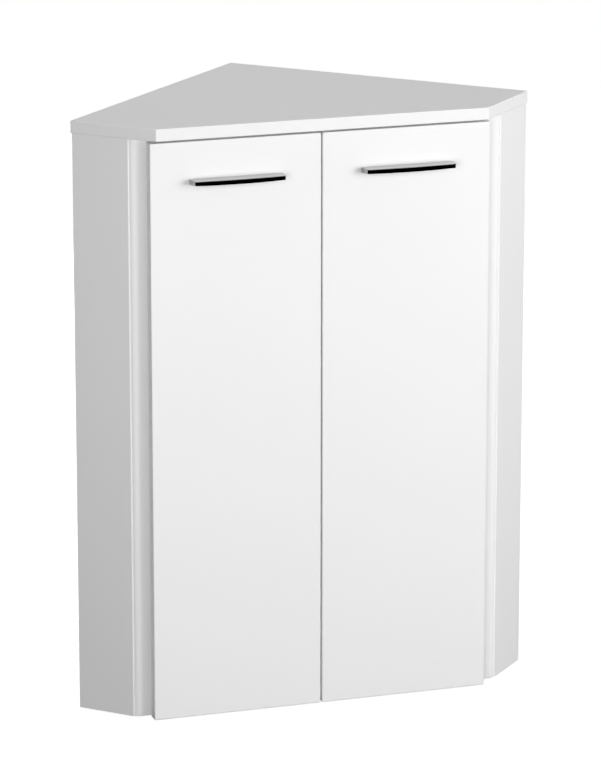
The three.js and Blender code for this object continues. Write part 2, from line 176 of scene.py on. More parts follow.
# Small hardware. A share is of the thread's pitch, or of a head's, foot's or bumper's own height or radius
SCREW_HOLE = 4.6 * MM
SCREW_SHANK = 4 * MM
SCREW_HEAD = 8 * MM
SCREW_HEAD_HEIGHT = 2.2 * MM
SCREW_REACH = 9 * MM
SCREW_PITCH = 0.7 * MM
SCREW_TIP_RADIUS = 0.6 * MM
SCREW_TIP_LENGTH = 1.2 * MM
SCREW_TIP_INSET = 0.3 * MM
THREAD_DEPTH_SHARE = 0.2
DOME_FALL_SHARE = 0.5
HEAD_RING_SHARES = np.array([0.02, *np.linspace(0.08, 1, 12)])
RECESS_DEPTH_SHARE = 0.55
RECESS_ARM_SHARE = 0.11
RECESS_REACH_SHARE = 0.62
RECESS_SOFTNESS = 1.6
RECESS_END_SLOPE = 8
PEG_HEAD = 7 * MM
PEG_HEAD_LENGTH = 9 * MM
PEG_SHANK = 4.8 * MM
PEG_LENGTH = 16.3 * MM
PEG_HEAD_ROUNDING = 0.8 * MM
PEG_COLLAR_ROUNDING = 0.3 * MM
PEG_TIP_BEVEL = 0.5 * MM
TREAD_ROUNDING = 1.6 * MM
TREAD_TAPER = 1 * MM
TREAD_HOLLOW = 0.35 * MM
HOLLOW_SHARES = (0.5, 0.55)
FOOT_STEP = 0.5 * MM
FOOT_STEP_SHARES = (0.6, 0.7)
FOOT_RIM_ROUNDING = 0.4 * MM
BUMPER_SKIRT_SHARE = 0.25
BUMPER_TOP_SHARE = 0.1

# The camera, by a fit of the object's corners to the photograph
LENS = 200
SENSOR = 36
CAMERA_PLACE = (-2.3703, -7.2820, 2.5875)
CAMERA_YAW = 0.3201
CAMERA_PITCH = -0.2635
VIEW_END = 200

# The studio's glow from below, from low round the horizon and from above, and the share of it that lights
GLOW_BELOW = 0.01
GLOW_LEVEL = 0.85
GLOW_ABOVE = 0.52
GLOW_SHARE = 0.22
GLOW_LEVELS = [
    (0, GLOW_BELOW), (0.42, GLOW_BELOW), (0.47, GLOW_LEVEL), (0.62, GLOW_LEVEL), (0.75, GLOW_ABOVE),
    (1, GLOW_ABOVE),
]

# Large soft lights in front: azimuth from the front in degrees, distance, power, width. Then one overhead
WALL_LIGHTS = {
    "left_light": (-31, 3.2, 52, 1.4),
    "front_light": (12, 3.2, 12, 1.4),
    "right_light": (35, 3.2, 64, 1.4),
    "far_right_light": (85, 3.2, 24, 1.4),
    "back_light": (180, 3.4, 50, 2.4),
}
LIGHT_HEIGHT = 1.25
LIGHT_TARGET = 0.6
LIGHT_TALL = 1.8
TOP_POWER = 37
TOP_PLACE = (0, 0.1, 4.3)
TOP_TARGET = (0, 0, 1)
TOP_SIZE = 2

# The floor glows a little, so that it stays near white round the cupboard
FLOOR_RADIUS = 60
FLOOR_GLOW = 0.95


def unit(vectors):
    return vectors / np.maximum(np.linalg.norm(vectors, axis=-1, keepdims=True), 1e-12)


def quarter_turn(steps):
    return np.linspace(0, np.pi / 2, steps + 1)


def rounded(corners, radii, steps=4, hold=HOLD):
    """Closed outline, anticlockwise. Each corner becomes an arc of its radius, in equal turns from one side's
    direction to the next, with a point at a distance `hold` before and after it. A corner of radius zero
    stays a point."""
    corners = np.asarray(corners, float)
    radii = np.broadcast_to(np.asarray(radii, float), len(corners))
    back = unit(np.roll(corners, 1, 0) - corners)
    ahead = unit(np.roll(corners, -1, 0) - corners)
    half = np.arccos(np.clip((back * ahead).sum(1), -1, 1)) / 2
    reach = (radii / np.tan(np.maximum(half, 1e-6)))[:, None]
    middle = corners + unit(back + ahead) * (radii / np.sin(half))[:, None]
    start = corners + back * reach
    end = corners + ahead * reach
    first = np.arctan2(*(start - middle).T[::-1])
    last = np.arctan2(*(end - middle).T[::-1])
    sweep = (last - first + np.pi) % (2 * np.pi) - np.pi
    angle = first[:, None] + sweep[:, None] * np.linspace(0, 1, steps + 1)
    spokes = np.stack([np.cos(angle), np.sin(angle)], -1)
    arcs = middle[:, None] + radii[:, None, None] * spokes
    held = np.where(radii > 0, hold, 0)[:, None]
    before = (start + back * held)[:, None]
    after = (end + ahead * held)[:, None]
    points = np.concatenate([before, arcs, after], 1).reshape(-1, 2)
    keep = np.linalg.norm(points - np.roll(points, 1, 0), axis=1) > MERGED
    return points[keep]


def oblong(long, wide, rounding, steps):
    """Outline of a rectangle with round corners, about its middle."""
    x, y = long / 2, wide / 2
    return rounded([(-x, -y), (x, -y), (x, y), (-x, y)], rounding, steps)


def from_box(low, high):
    """Corners of a rectangle between its lowest and highest corner, anticlockwise."""
    return [(low[0], low[1]), (high[0], low[1]), (high[0], high[1]), (low[0], high[1])]


def outward(points):
    """Where each point of a closed outline goes when all its sides move out by one unit."""
    side = unit(np.roll(points, -1, 0) - points)
    normal = np.stack([side[:, 1], -side[:, 0]], 1)
    before = np.roll(normal, 1, 0)
    return (before + normal) / (1 + (before * normal).sum(1))[:, None]


def circle(centre, radius, facets):
    angle = np.arange(facets) * 2 * np.pi / facets
    return np.asarray(centre) + radius * np.stack([np.cos(angle), np.sin(angle)], 1)


def grid_faces(rings, columns, first=0):
    """Four-sided faces between neighbouring closed rings of points."""
    ring = first + np.arange(rings - 1)[:, None] * columns
    column = np.arange(columns)[None]
    following = (column + 1) % columns
    corners = [ring + column, ring + following, ring + columns + following, ring + columns + column]
    return np.stack(corners, -1).reshape(-1, 4).tolist()


def at_height(points, height):
    return np.column_stack([points, np.full(len(points), height)])


def slab(outline, low, high, ease, holes=(), steps=3, banded=False):
    """Slab over a closed outline between two heights. Near each end the outline is drawn in by
    ease * (1 - sin t) while its height goes ease * (1 - cos t) from the end, for t from 0 to a quarter turn.
    A hole is (centre, radius, from height, to height), and is open wherever it meets an end. Gives points,
    faces and a band value for each point, which is 0 on the two end faces and, if the slab is banded, 1 round
    the edge."""
    turn = quarter_turn(steps)
    inset = np.concatenate([[ease + HOLD], ease * (1 - np.sin(turn)), [0]])
    rise = np.concatenate([[0], ease * (1 - np.cos(turn)), [ease + HOLD]])
    insets = np.concatenate([inset, inset[::-1]])
    heights = np.concatenate([low + rise, (high - rise)[::-1]])
    push = outward(outline)
    rings = outline[None] - push[None] * insets[:, None, None]
    tops = np.broadcast_to(heights[:, None, None], rings.shape[:2] + (1,))
    blocks = [np.concatenate([rings, tops], -1).reshape(-1, 3)]
    faces = grid_faces(len(insets), len(outline))
    band = np.full((len(insets), len(outline)), float(banded))
    band[[0, -1]] = 0
    bands = [band.reshape(-1)]
    columns = len(outline)
    count = columns * len(insets)
    mouths = {low: [], high: []}
    for centre, radius, start, end in holes:
        facets = FACETS["large bore" if radius > LARGE_BORE else "small bore"]
        inward = np.sign(end - start) * BORE_BEVEL
        depths, radii = [start, start + inward, end], [radius + BORE_BEVEL, radius, radius]
        if end in mouths:
            depths.insert(2, end - inward)
            radii[2:] = [radius, radius + BORE_BEVEL]
        walls = [at_height(circle(centre, r, facets), d) for r, d in zip(radii, depths)]
        blocks += walls
        bands.append(np.zeros(facets * len(walls)))
        faces += grid_faces(len(walls), facets, count)
        mouths[start].append((count, walls[0]))
        last = count + facets * (len(walls) - 1)
        if end in mouths:
            mouths[end].append((last, walls[-1]))
        else:
            faces.append(list(range(last, last + facets)))
        count = last + facets
    for height, first in ((low, 0), (high, columns * (len(insets) - 1))):
        edge = blocks[0][first:first + columns]
        if not mouths[height]:
            faces.append(list(range(first, first + columns)))
            continue
        rims = [np.arange(start, start + len(wall)) for start, wall in mouths[height]]
        indices = np.concatenate([np.arange(first, first + columns)] + rims)
        loops = [edge.tolist()] + [wall.tolist() for _, wall in mouths[height]]
        triangles = np.array(tessellate_polygon([[(a, b, 0) for a, b, _ in loop] for loop in loops]))
        faces += indices[triangles].tolist()
    return np.concatenate(blocks), faces, np.concatenate(bands)


def capped(rings):
    """Part from a stack of closed rings of points, with a flat face at each end."""
    count, columns = rings.shape[:2]
    faces = grid_faces(count, columns)
    faces += [list(range(columns)), list(range((count - 1) * columns, count * columns))]
    return rings.reshape(-1, 3), faces, np.zeros(count * columns)


def turned(profile, facets):
    """Profile points (radius, height) turned round the axis, closed by a flat face at each end."""
    profile = np.asarray(profile, float)
    rings = profile[:, None, :1] * circle((0, 0), 1, facets)[None]
    heights = np.broadcast_to(profile[:, None, 1:], rings.shape[:2] + (1,))
    return capped(np.concatenate([rings, heights], -1))


def round_corner(radius, height, ease, direction, steps=4):
    """Profile points of a quarter circle between a side at `radius` and an end at `height`."""
    turn = quarter_turn(steps)
    inset = ease * (1 - np.cos(turn))
    return np.column_stack([radius - inset, height - direction * ease * (1 - np.sin(turn))])


def moved_by(part, offset=(0, 0, 0), scale=(1, 1, 1)):
    """The part stretched or mirrored by `scale`, then moved."""
    points, faces, band = part
    return points * scale + offset, faces, band


def placed(part, axes="xyz", offset=(0, 0, 0), turn=0):
    """Takes a part from its own axes to the row's: `axes` says where its first, second and third axis point.
    Then it turns about Z and moves."""
    points, faces, band = part
    moved = np.zeros_like(points)
    for column, axis in enumerate(axes):
        moved[:, "xyz".index(axis)] = points[:, column]
    cosine, sine = math.cos(turn), math.sin(turn)
    x = moved[:, 0] * cosine - moved[:, 1] * sine
    y = moved[:, 0] * sine + moved[:, 1] * cosine
    return np.column_stack([x, y, moved[:, 2]]) + np.asarray(offset), faces, band


def make(name, parts, finish, body, nodes, mirror=1):
    """One object from its parts, joined, with its faces turned out. It rides on its body in place of the CAD
    nodes."""
    points, faces, bands, count = [], [], [], 0
    for part_points, part_faces, band in parts:
        points.append(part_points)
        bands.append(band)
        faces += [[corner + count for corner in face] for face in part_faces]
        count += len(part_points)
    mesh = bpy.data.meshes.new(name)
    mesh.from_pydata((np.concatenate(points) * (mirror, 1, 1)).tolist(), [], faces)
    edge = mesh.attributes.new("band", "FLOAT", "POINT")
    edge.data.foreach_set("value", np.concatenate(bands).astype(np.float32))
    work = bmesh.new()
    work.from_mesh(mesh)
    bmesh.ops.remove_doubles(work, verts=work.verts, dist=MERGED)
    bmesh.ops.recalc_face_normals(work, faces=work.faces)
    work.to_mesh(mesh)
    work.free()
    mesh.shade_smooth()
    mesh.set_sharp_from_angle(angle=SHARP_ANGLE)
    mesh.materials.append(finish)
    piece = bpy.data.objects.new(name, mesh)
    bpy.context.scene.collection.objects.link(piece)
    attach(piece, body)
    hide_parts(*nodes)


class Wire:
    """A socket in a finish. Sums, products and powers of it, with a number on either side, add Math nodes."""

    def __init__(self, finish, socket):
        self.finish = finish
        self.socket = socket

    def maths(self, operation, first, second):
        made = self.finish.node("ShaderNodeMath", {"operation": operation}, {0: first, 1: second})
        return made["Value"]

    def __add__(self, other):
        return self.maths("ADD", self, other)

    def __sub__(self, other):
        return self.maths("SUBTRACT", self, other)

    def __rsub__(self, other):
        return self.maths("SUBTRACT", other, self)

    def __mul__(self, other):
        return self.maths("MULTIPLY", self, other)

    def __pow__(self, other):
        return self.maths("POWER", self, other)

    __radd__ = __add__
    __rmul__ = __mul__


class Finish:
    """The node tree of a material, or of the world. `node` adds any node: its type, its settings, then its
    sockets. The setting "levels" is a float curve's points."""

    def __init__(self, owner):
        owner.use_nodes = True
        self.owner = owner
        self.tree = owner.node_tree
        self.tree.nodes.clear()

    def set_levels(self, made, levels):
        points = made.mapping.curves[0].points
        points[0].location = levels[0]
        points[1].location = levels[-1]
        for place, level in levels[1:-1]:
            points.new(place, level)
        made.mapping.update()

    def node(self, kind, settings=None, sockets=None):
        made = self.tree.nodes.new(kind)
        for setting, value in (settings or {}).items():
            if setting == "levels":
                self.set_levels(made, value)
            else:
                setattr(made, setting, value)
        for socket, value in (sockets or {}).items():
            if isinstance(value, Wire):
                self.tree.links.new(value.socket, made.inputs[socket])
            else:
                made.inputs[socket].default_value = value
        return {output.name: Wire(self, output) for output in made.outputs if output.enabled}

    def place(self, scale=(1, 1, 1)):
        """Object coordinates, stretched by `scale`."""
        where = self.node("ShaderNodeTexCoord")["Object"]
        return self.node("ShaderNodeMapping", None, {"Vector": where, "Scale": scale})["Vector"]

    def noise(self, where, scale, detail=2.0, roughness=0.5):
        sockets = {"Vector": where, "Scale": scale, "Detail": detail, "Roughness": roughness}
        return next(iter(self.node("ShaderNodeTexNoise", None, sockets).values()))

    def mix(self, share, first, second):
        """Mixes two colours: sockets 0, 6 and 7 of the Mix node are its factor and its two colours."""
        return self.node("ShaderNodeMix", {"data_type": "RGBA"}, {0: share, 6: first, 7: second})["Result"]

    def bump(self, height, strength, distance):
        sockets = {"Height": height, "Strength": strength, "Distance": distance}
        return self.node("ShaderNodeBump", None, sockets)["Normal"]

    def surface(self, **sockets):
        named = {socket.replace("_", " "): value for socket, value in sockets.items()}
        shader = self.node("ShaderNodeBsdfPrincipled", None, named)["BSDF"]
        self.node("ShaderNodeOutputMaterial", None, {"Surface": shader})
        return self.owner


def new_finish(name):
    return Finish(bpy.data.materials.new(name))


def grey(value, warmth=0.0):
    return (value * (1 + warmth), value, value * (1 - warmth), 1)


# Colours: a finish wanders between its two tones. Then what a board's edge strip and its glue line go towards
FOIL_TONES = (grey(0.84, 0.002), grey(0.865, 0.001))
FOIL_EDGE = grey(0.835, 0.003)
GLUE_LINE = grey(0.5, 0.02)
BACK_TONES = (grey(0.74, 0.012), grey(0.82, 0.006))
BACK_EDGE = (0.56, 0.43, 0.30, 1)
CHROME_TONES = ((0.38, 0.385, 0.39, 1), (0.43, 0.435, 0.44, 1))
NICKEL_TONES = ((0.64, 0.635, 0.62, 1), (0.78, 0.775, 0.76, 1))
PEG_TONES = ((0.60, 0.61, 0.63, 1), (0.74, 0.75, 0.77, 1))
SCREW_TONES = ((0.58, 0.60, 0.64, 1), (0.72, 0.74, 0.78, 1))
PLASTIC_TONES = ((0.74, 0.74, 0.715, 1), (0.82, 0.82, 0.8, 1))
BUMPER_TONES = ((0.66, 0.68, 0.68, 1), (0.76, 0.78, 0.77, 1))
FLOOR_TONES = (grey(0.29), grey(0.31))


def white_foil():
    """White foil-faced board: satin, with a fine pearl in the foil and a hair line where the edge strip
    begins."""
    finish = new_finish("white_foil")
    where = finish.place()
    cloud = finish.noise(where, scale=2.2, detail=3)
    pearl = finish.noise(where, scale=900, detail=2)
    dapple = finish.noise(where, scale=60, detail=3)
    band = finish.node("ShaderNodeAttribute", {"attribute_name": "band"})["Fac"]
    glue_line = band * (1 - band) * 4
    tone = finish.mix(cloud, *FOIL_TONES)
    tone = finish.mix(band * 0.5, tone, FOIL_EDGE)
    tone = finish.mix(glue_line * 0.4, tone, GLUE_LINE)
    return finish.surface(
        Base_Color=tone,
        Roughness=0.34 + dapple * 0.05 + cloud * 0.06,
        Normal=finish.bump(pearl + dapple * 2, strength=0.12, distance=0.05 * MM),
    )


def back_foil():
    """Thin matt white paper foil on fibreboard, with its fibres showing a little."""
    finish = new_finish("back_foil")
    where = finish.place()
    fibres = finish.noise(finish.place((1, 1, 0.15)), scale=420, detail=4, roughness=0.65)
    cloud = finish.noise(where, scale=5, detail=3)
    band = finish.node("ShaderNodeAttribute", {"attribute_name": "band"})["Fac"]
    tone = finish.mix(fibres * 0.35 + cloud * 0.4, *BACK_TONES)
    tone = finish.mix(band * 0.6, tone, BACK_EDGE)
    return finish.surface(
        Base_Color=tone,
        Roughness=0.58 + fibres * 0.12,
        Normal=finish.bump(fibres, strength=0.2, distance=0.08 * MM),
    )


def polished_chrome():
    """Polished chrome: bright, with faint smears that only the gloss shows."""
    finish = new_finish("polished_chrome")
    where = finish.place()
    smears = finish.noise(finish.place((1, 1, 3)), scale=55, detail=4, roughness=0.6)
    ripple = finish.noise(where, scale=160, detail=2)
    tone = finish.mix(smears, *CHROME_TONES)
    return finish.surface(
        Base_Color=tone,
        Metallic=1.0,
        Roughness=0.05 + smears ** 3 * 0.16,
        Normal=finish.bump(ripple, strength=0.05, distance=0.1 * MM),
    )


def plated_steel(name, tones, roughness, stretch):
    """Satin plated steel: drawn lines along the part, cloudy plating and a little wear of the gloss."""
    finish = new_finish(name)
    lines = finish.noise(finish.place(stretch), scale=700, detail=3, roughness=0.6)
    cloud = finish.noise(finish.place(), scale=90, detail=3)
    tone = finish.mix(cloud * 0.6 + lines * 0.4, *tones)
    return finish.surface(
        Base_Color=tone,
        Metallic=1.0,
        Roughness=roughness + lines * 0.12 + cloud * 0.06,
        Normal=finish.bump(lines, strength=0.12, distance=0.04 * MM),
    )


def moulded_plastic():
    """Off-white moulded plastic with a fine spark-eroded grain, a little scuffed."""
    finish = new_finish("moulded_plastic")
    where = finish.place()
    grain = finish.noise(where, scale=1500, detail=2)
    scuffs = finish.noise(where, scale=120, detail=4, roughness=0.7)
    tone = finish.mix(scuffs, *PLASTIC_TONES)
    return finish.surface(
        Base_Color=tone,
        Roughness=0.42 + scuffs * 0.14,
        Normal=finish.bump(grain, strength=0.25, distance=0.06 * MM),
    )


def clear_bumper():
    """Soft milky buffer pad, with a fine cloud in its tone and gloss and a light clear coat."""
    finish = new_finish("clear_bumper")
    where = finish.place()
    cloud = finish.noise(where, scale=300, detail=3)
    tone = finish.mix(cloud, *BUMPER_TONES)
    return finish.surface(
        Base_Color=tone,
        Roughness=0.22 + cloud * 0.12,
        Coat_Weight=0.4,
        Normal=finish.bump(cloud, strength=0.1, distance=0.05 * MM),
    )


FOIL = white_foil()
BACK = back_foil()
CHROME = polished_chrome()
NICKEL = plated_steel("satin_nickel", NICKEL_TONES, roughness=0.26, stretch=(6, 1, 1))
ZINC_PEG = plated_steel("zinc_pegs", PEG_TONES, roughness=0.28, stretch=(1, 1, 5))
ZINC_SCREW = plated_steel("zinc_screws", SCREW_TONES, roughness=0.26, stretch=(1, 6, 1))
PLASTIC = moulded_plastic()
BUMPER = clear_bumper()

plate_low, plate_high = (np.array(corner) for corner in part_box("top_plate"))
BACK_Y = plate_high[1]
PLATE_FRONT_Y = plate_low[1]
strip_low, strip_high = (np.array(corner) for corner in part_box("right_front_stile"))
FRONT_Y = strip_low[1]
STRIP_BACK_Y = strip_high[1]
STRIP_INNER_X = strip_low[0]
CASE_LOW = strip_low[2]
CASE_HIGH = strip_high[2]
batten_low, batten_high = (np.array(corner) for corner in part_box("right_hinge_batten"))
door_low, door_high = (np.array(corner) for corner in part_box("right_door"))
DOOR_OUTER_X = door_high[0]
DOOR_FRONT_Y = door_low[1]
DOOR_THICKNESS = door_high[1] - door_low[1]
SIDE_OUTER = WALL_LEG - CASE_INSET
SIDE_INNER = SIDE_OUTER - BOARD
BACK_INNER = CASE_INSET + BACK_BOARD
POST_INNER = CASE_INSET + POST
HINGE_HEIGHTS = [(low[2] + high[2]) / 2 for low, high in (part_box(f"right_hinge_cup_{n}") for n in (1, 2, 3))]


def from_walls(from_left, from_right):
    """Plan point from its distances to the left wall and to the right wall."""
    x = (from_left - from_right) * DIAGONAL
    return np.array([x, BACK_Y - (from_left + from_right) * DIAGONAL])


def wall_point_at(from_left, y):
    return from_walls(from_left, (BACK_Y - y) / DIAGONAL - from_left)


def both_halves(right_half):
    """Anticlockwise outline from its right half, which runs from the front to the back."""
    right_half = np.asarray(right_half)
    left = (right_half * (-1, 1))[::-1]
    return np.concatenate([right_half, left[np.abs(left[:, 0]) > FIXED_GAP]])


def top_plate():
    side_y = BACK_Y - plate_high[0]
    front_x = plate_high[0] - (side_y - PLATE_FRONT_Y)
    outline = both_halves([(front_x, PLATE_FRONT_Y), (plate_high[0], side_y), (0, BACK_Y)])
    part = slab(rounded(outline, PLATE_CORNER), plate_low[2], plate_high[2], PLATE_EASE, banded=True)
    make("finished_top_plate", [part], FOIL, "carcase", ["top_plate"])


def rolled_edge(corner, along, inward, radius, depth, steps=10):
    """Arc that leaves a face and rolls into the groove. It is tangent to the face, has the given radius, and
    ends in the groove's bottom, `depth` behind the face, half a joint short of the other board."""
    along, inward = np.asarray(along), np.asarray(inward)
    bottom = corner + (STRIP_ROLL_DEPTH - PANEL_ROLL_DEPTH * math.sqrt(2), STRIP_ROLL_DEPTH)
    run = math.sqrt(2 * radius * depth - depth * depth)
    turn = np.linspace(0, math.asin(run / radius), steps + 1)[:, None]
    centre = bottom + along * (run + FIXED_GAP / 2) + inward * (radius - depth)
    return centre - radius * (inward * np.cos(turn) + along * np.sin(turn))


def mitre_end(corner, along, inward, depth):
    side = depth * math.tan(math.pi / 8) + FIXED_GAP / 2 / math.cos(math.pi / 8)
    return corner + np.asarray(along) * side + np.asarray(inward) * depth


def front_strip(side):
    corner = wall_point_at(SIDE_OUTER, FRONT_Y)
    roll = rolled_edge(corner, (-1, 0), (0, 1), STRIP_ROUNDING, STRIP_ROLL_DEPTH)
    lead = roll[0] - (HOLD, 0)
    corners = [
        (STRIP_INNER_X, FRONT_Y), lead, *roll,
        mitre_end(corner, (-1, 0), (0, 1), BOARD), (STRIP_INNER_X, STRIP_BACK_Y),
    ]
    radii = [CASE_CORNER] + [0] * (len(corners) - 1)
    part = slab(rounded(corners, radii), CASE_LOW, CASE_HIGH, CASE_EASE)
    name = f"{side}_front_stile"
    make(f"finished_{name}", [part], FOIL, "carcase", [name], SIDES[side])


def side_panel(side):
    corner = wall_point_at(SIDE_OUTER, FRONT_Y)
    along = np.array([1, 1]) * DIAGONAL
    inward = np.array([-1, 1]) * DIAGONAL
    roll = rolled_edge(corner, along, inward, PANEL_ROUNDING, PANEL_ROLL_DEPTH)[::-1]
    tail = roll[-1] + along * HOLD
    corners = [
        *roll, tail, from_walls(SIDE_OUTER, CASE_INSET), from_walls(SIDE_INNER, CASE_INSET),
        mitre_end(corner, along, inward, BOARD),
    ]
    radii = [0] * (len(roll) + 1) + [CASE_CORNER] * 2 + [0]
    part = slab(rounded(corners, radii), CASE_LOW, CASE_HIGH, CASE_EASE)
    name = f"{side}_side_panel"
    make(f"finished_{name}", [part], FOIL, "carcase", [name], SIDES[side])


def back_panel(side):
    corners = [
        from_walls(POST_INNER + FIXED_GAP, CASE_INSET), from_walls(POST_INNER + FIXED_GAP, BACK_INNER),
        from_walls(SIDE_INNER - FIXED_GAP, BACK_INNER), from_walls(SIDE_INNER - FIXED_GAP, CASE_INSET),
    ]
    part = slab(rounded(corners, BACK_CORNER), CASE_LOW, CASE_HIGH, SAWN_EASE)
    name = f"{side}_back_panel"
    make(f"finished_{name}", [part], BACK, "carcase", [name], SIDES[side])


def corner_post():
    corners = both_halves([
        from_walls(POST_INNER, POST_INNER), from_walls(POST_INNER, CASE_INSET),
        from_walls(CASE_INSET, CASE_INSET),
    ])
    part = slab(rounded(corners, POST_CORNER), CASE_LOW, CASE_HIGH, CASE_EASE)
    make("finished_corner_post", [part], BACK, "carcase", ["rear_corner_post"])


def wall_side(gap):
    return [
        from_walls(SIDE_INNER - gap, BACK_INNER + gap), from_walls(POST_INNER + gap, BACK_INNER + gap),
        from_walls(POST_INNER + gap, POST_INNER + gap),
    ]


def bottom_board():
    low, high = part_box("bottom_board")
    inner = STRIP_INNER_X - FIXED_GAP
    corners = both_halves([
        (inner, FRONT_Y), (inner, STRIP_BACK_Y + FIXED_GAP),
        wall_point_at(SIDE_INNER - FIXED_GAP, STRIP_BACK_Y + FIXED_GAP), *wall_side(FIXED_GAP),
    ])
    part = slab(rounded(corners, BOTTOM_CORNER), low[2], high[2], CASE_EASE, banded=True)
    make("finished_bottom_board", [part], FOIL, "carcase", ["bottom_board"])


def shelf(level):
    """Shelf with its front edge strip, notched round the battens that carry the hinges."""
    low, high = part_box(f"{level}_shelf")
    inner = STRIP_INNER_X - SHELF_GAP
    outer = STRIP_INNER_X + BATTEN_WIDTH + SHELF_GAP
    notch_y = batten_high[1] + SHELF_GAP
    corners = both_halves([
        (inner, low[1]), (inner, notch_y), (outer, notch_y), (outer, low[1]),
        wall_point_at(SIDE_INNER - SHELF_GAP, low[1]), *wall_side(SHELF_GAP),
    ])
    part = slab(rounded(corners, SHELF_CORNER), low[2], high[2], SHELF_EASE, banded=True)
    make(f"finished_{level}_shelf", [part], FOIL, "carcase", [f"{level}_shelf"])


def top_rail():
    low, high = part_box("top_rail")
    part = slab(rounded(from_box(low, high), RAIL_CORNER), low[2], high[2], CASE_EASE)
    make("finished_top_rail", [part], FOIL, "carcase", ["top_rail"])


def hinge_batten(side):
    name = f"{side}_hinge_batten"
    outline = rounded(from_box(batten_low, batten_high), BATTEN_CORNER)
    part = slab(outline, batten_low[2], batten_high[2], CASE_EASE)
    make(f"finished_{name}", [part], FOIL, "carcase", [name], SIDES[side])


def screw_places():
    boxes = [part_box(f"right_handle_screw_{n}") for n in (1, 2)]
    return [((low[0] + high[0]) / 2, (low[2] + high[2]) / 2) for low, high in boxes]


def door(side):
    corners = from_box(door_low[[0, 2]], door_high[[0, 2]])
    front, back = door_low[1], door_high[1]
    bore = CUP_DIAMETER / 2 + FIXED_GAP
    bore_end = front + CUP_FLOOR - CUP_WALL - FIXED_GAP
    holes = [((DOOR_OUTER_X - CUP_CENTRE, z), bore, back, bore_end) for z in HINGE_HEIGHTS]
    holes += [(place, SCREW_HOLE / 2, front, back) for place in screw_places()]
    part = slab(rounded(corners, DOOR_CORNER), front, back, DOOR_EASE, holes, banded=True)
    name = f"{side}_door"
    make(f"finished_{name}", [placed(part, "xzy")], FOIL, name, [name], SIDES[side])


def pull_sections(rounding):
    """Two closed outlines of the pull's cross-section, point for point alike: hollow along its length and
    solid in its end cheeks. The first number is how far out from the door, the second is height."""
    box_low, box_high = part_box("right_handle")
    out = box_high[1] - box_low[1]
    inner = out - PULL_LIP_WALL
    slope = (END_HEIGHT - LIP_HEIGHT) / out
    turn = quarter_turn(4)
    nose = np.column_stack([out - rounding * (1 - np.sin(turn)), -rounding * (1 - np.cos(turn))])
    toe_out = np.column_stack([
        out - rounding / 2 * (1 - np.cos(turn)), -LIP_HEIGHT + rounding / 2 * (1 - np.sin(turn)),
    ])
    outer = np.concatenate([
        [(0, 0), (out - rounding - HOLD, 0)], nose,
        [(out, -rounding - HOLD), (out, -LIP_HEIGHT + rounding / 2 + HOLD)], toe_out,
    ])
    hollow = np.array([
        (inner + rounding / 3, -LIP_HEIGHT), (inner, -LIP_HEIGHT + rounding / 3),
        (inner, -PULL_TOP_WALL - rounding), (inner - rounding, -PULL_TOP_WALL), (0, -PULL_TOP_WALL),
    ])
    across = np.array([inner + rounding / 3, inner, *(inner * share for share in CHEEK_SHARES), 0])
    solid = np.column_stack([across, -END_HEIGHT + slope * across])
    solid[0, 1] = -LIP_HEIGHT
    return np.concatenate([outer, hollow]), np.concatenate([outer, solid]), out


def pull(side):
    """The pull: its cross-section carried along its length. The ends are drawn in by a quarter circle. The
    plan is narrower at the lip and has rounded front corners. The lip bows out in the middle and is less high
    at its ends, both with the square of the distance from the middle."""
    box_low, box_high = (np.array(corner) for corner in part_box("right_handle"))
    hollow, solid, out = pull_sections(PULL_ROUNDING)
    half = (box_high[0] - box_low[0]) / 2
    turn = quarter_turn(3)
    push = outward(solid[::-1])[::-1]
    draw = PULL_ROUNDING * (1 - np.sin(turn))
    ends = solid[None] - push[None] * draw[:, None, None]
    ends_x = half - PULL_ROUNDING * (1 - np.cos(turn))
    inner_x = half - PULL_CHEEK
    middle_x = np.linspace(inner_x, -inner_x, PULL_RINGS)
    rings = np.concatenate([
        ends, solid[None], np.repeat(hollow[None], len(middle_x), 0), solid[None], ends[::-1],
    ])
    x = np.concatenate([ends_x, [inner_x], middle_x, [-inner_x], -ends_x[::-1]])
    share = (x / half)[:, None]
    outness = rings[..., 0] / out
    past = np.clip(rings[..., 0] - out + PULL_CORNER, 0, PULL_CORNER)
    corner = PULL_CORNER - np.sqrt(PULL_CORNER ** 2 - past ** 2)
    x = x[:, None] * (1 - (PULL_TAPER * outness + corner) / half)
    across = rings[..., 0] * (1 - PULL_BOW / out * share ** 2 * outness)
    up = rings[..., 1] * (1 - LIP_TAPER / LIP_HEIGHT * share ** 2 * outness)
    centre = (box_low[0] + box_high[0]) / 2
    parts = [capped(np.stack([centre + x, DOOR_FRONT_Y - across, box_high[2] + up], -1))]
    radius = BOSS_DIAMETER / 2
    boss = turned(np.concatenate([
        [(radius, 0)], round_corner(radius, BOSS_LENGTH, BOSS_EASE, 1), [(SCREW_SHANK / 2, BOSS_LENGTH)],
    ]), FACETS["boss"])
    boss = moved_by(boss, scale=(1, 1, -1))
    parts += [placed(boss, "xzy", (place_x, DOOR_FRONT_Y, place_z)) for place_x, place_z in screw_places()]
    name = f"{side}_handle"
    make(f"finished_{name}", parts, CHROME, f"{side}_door", [name], SIDES[side])


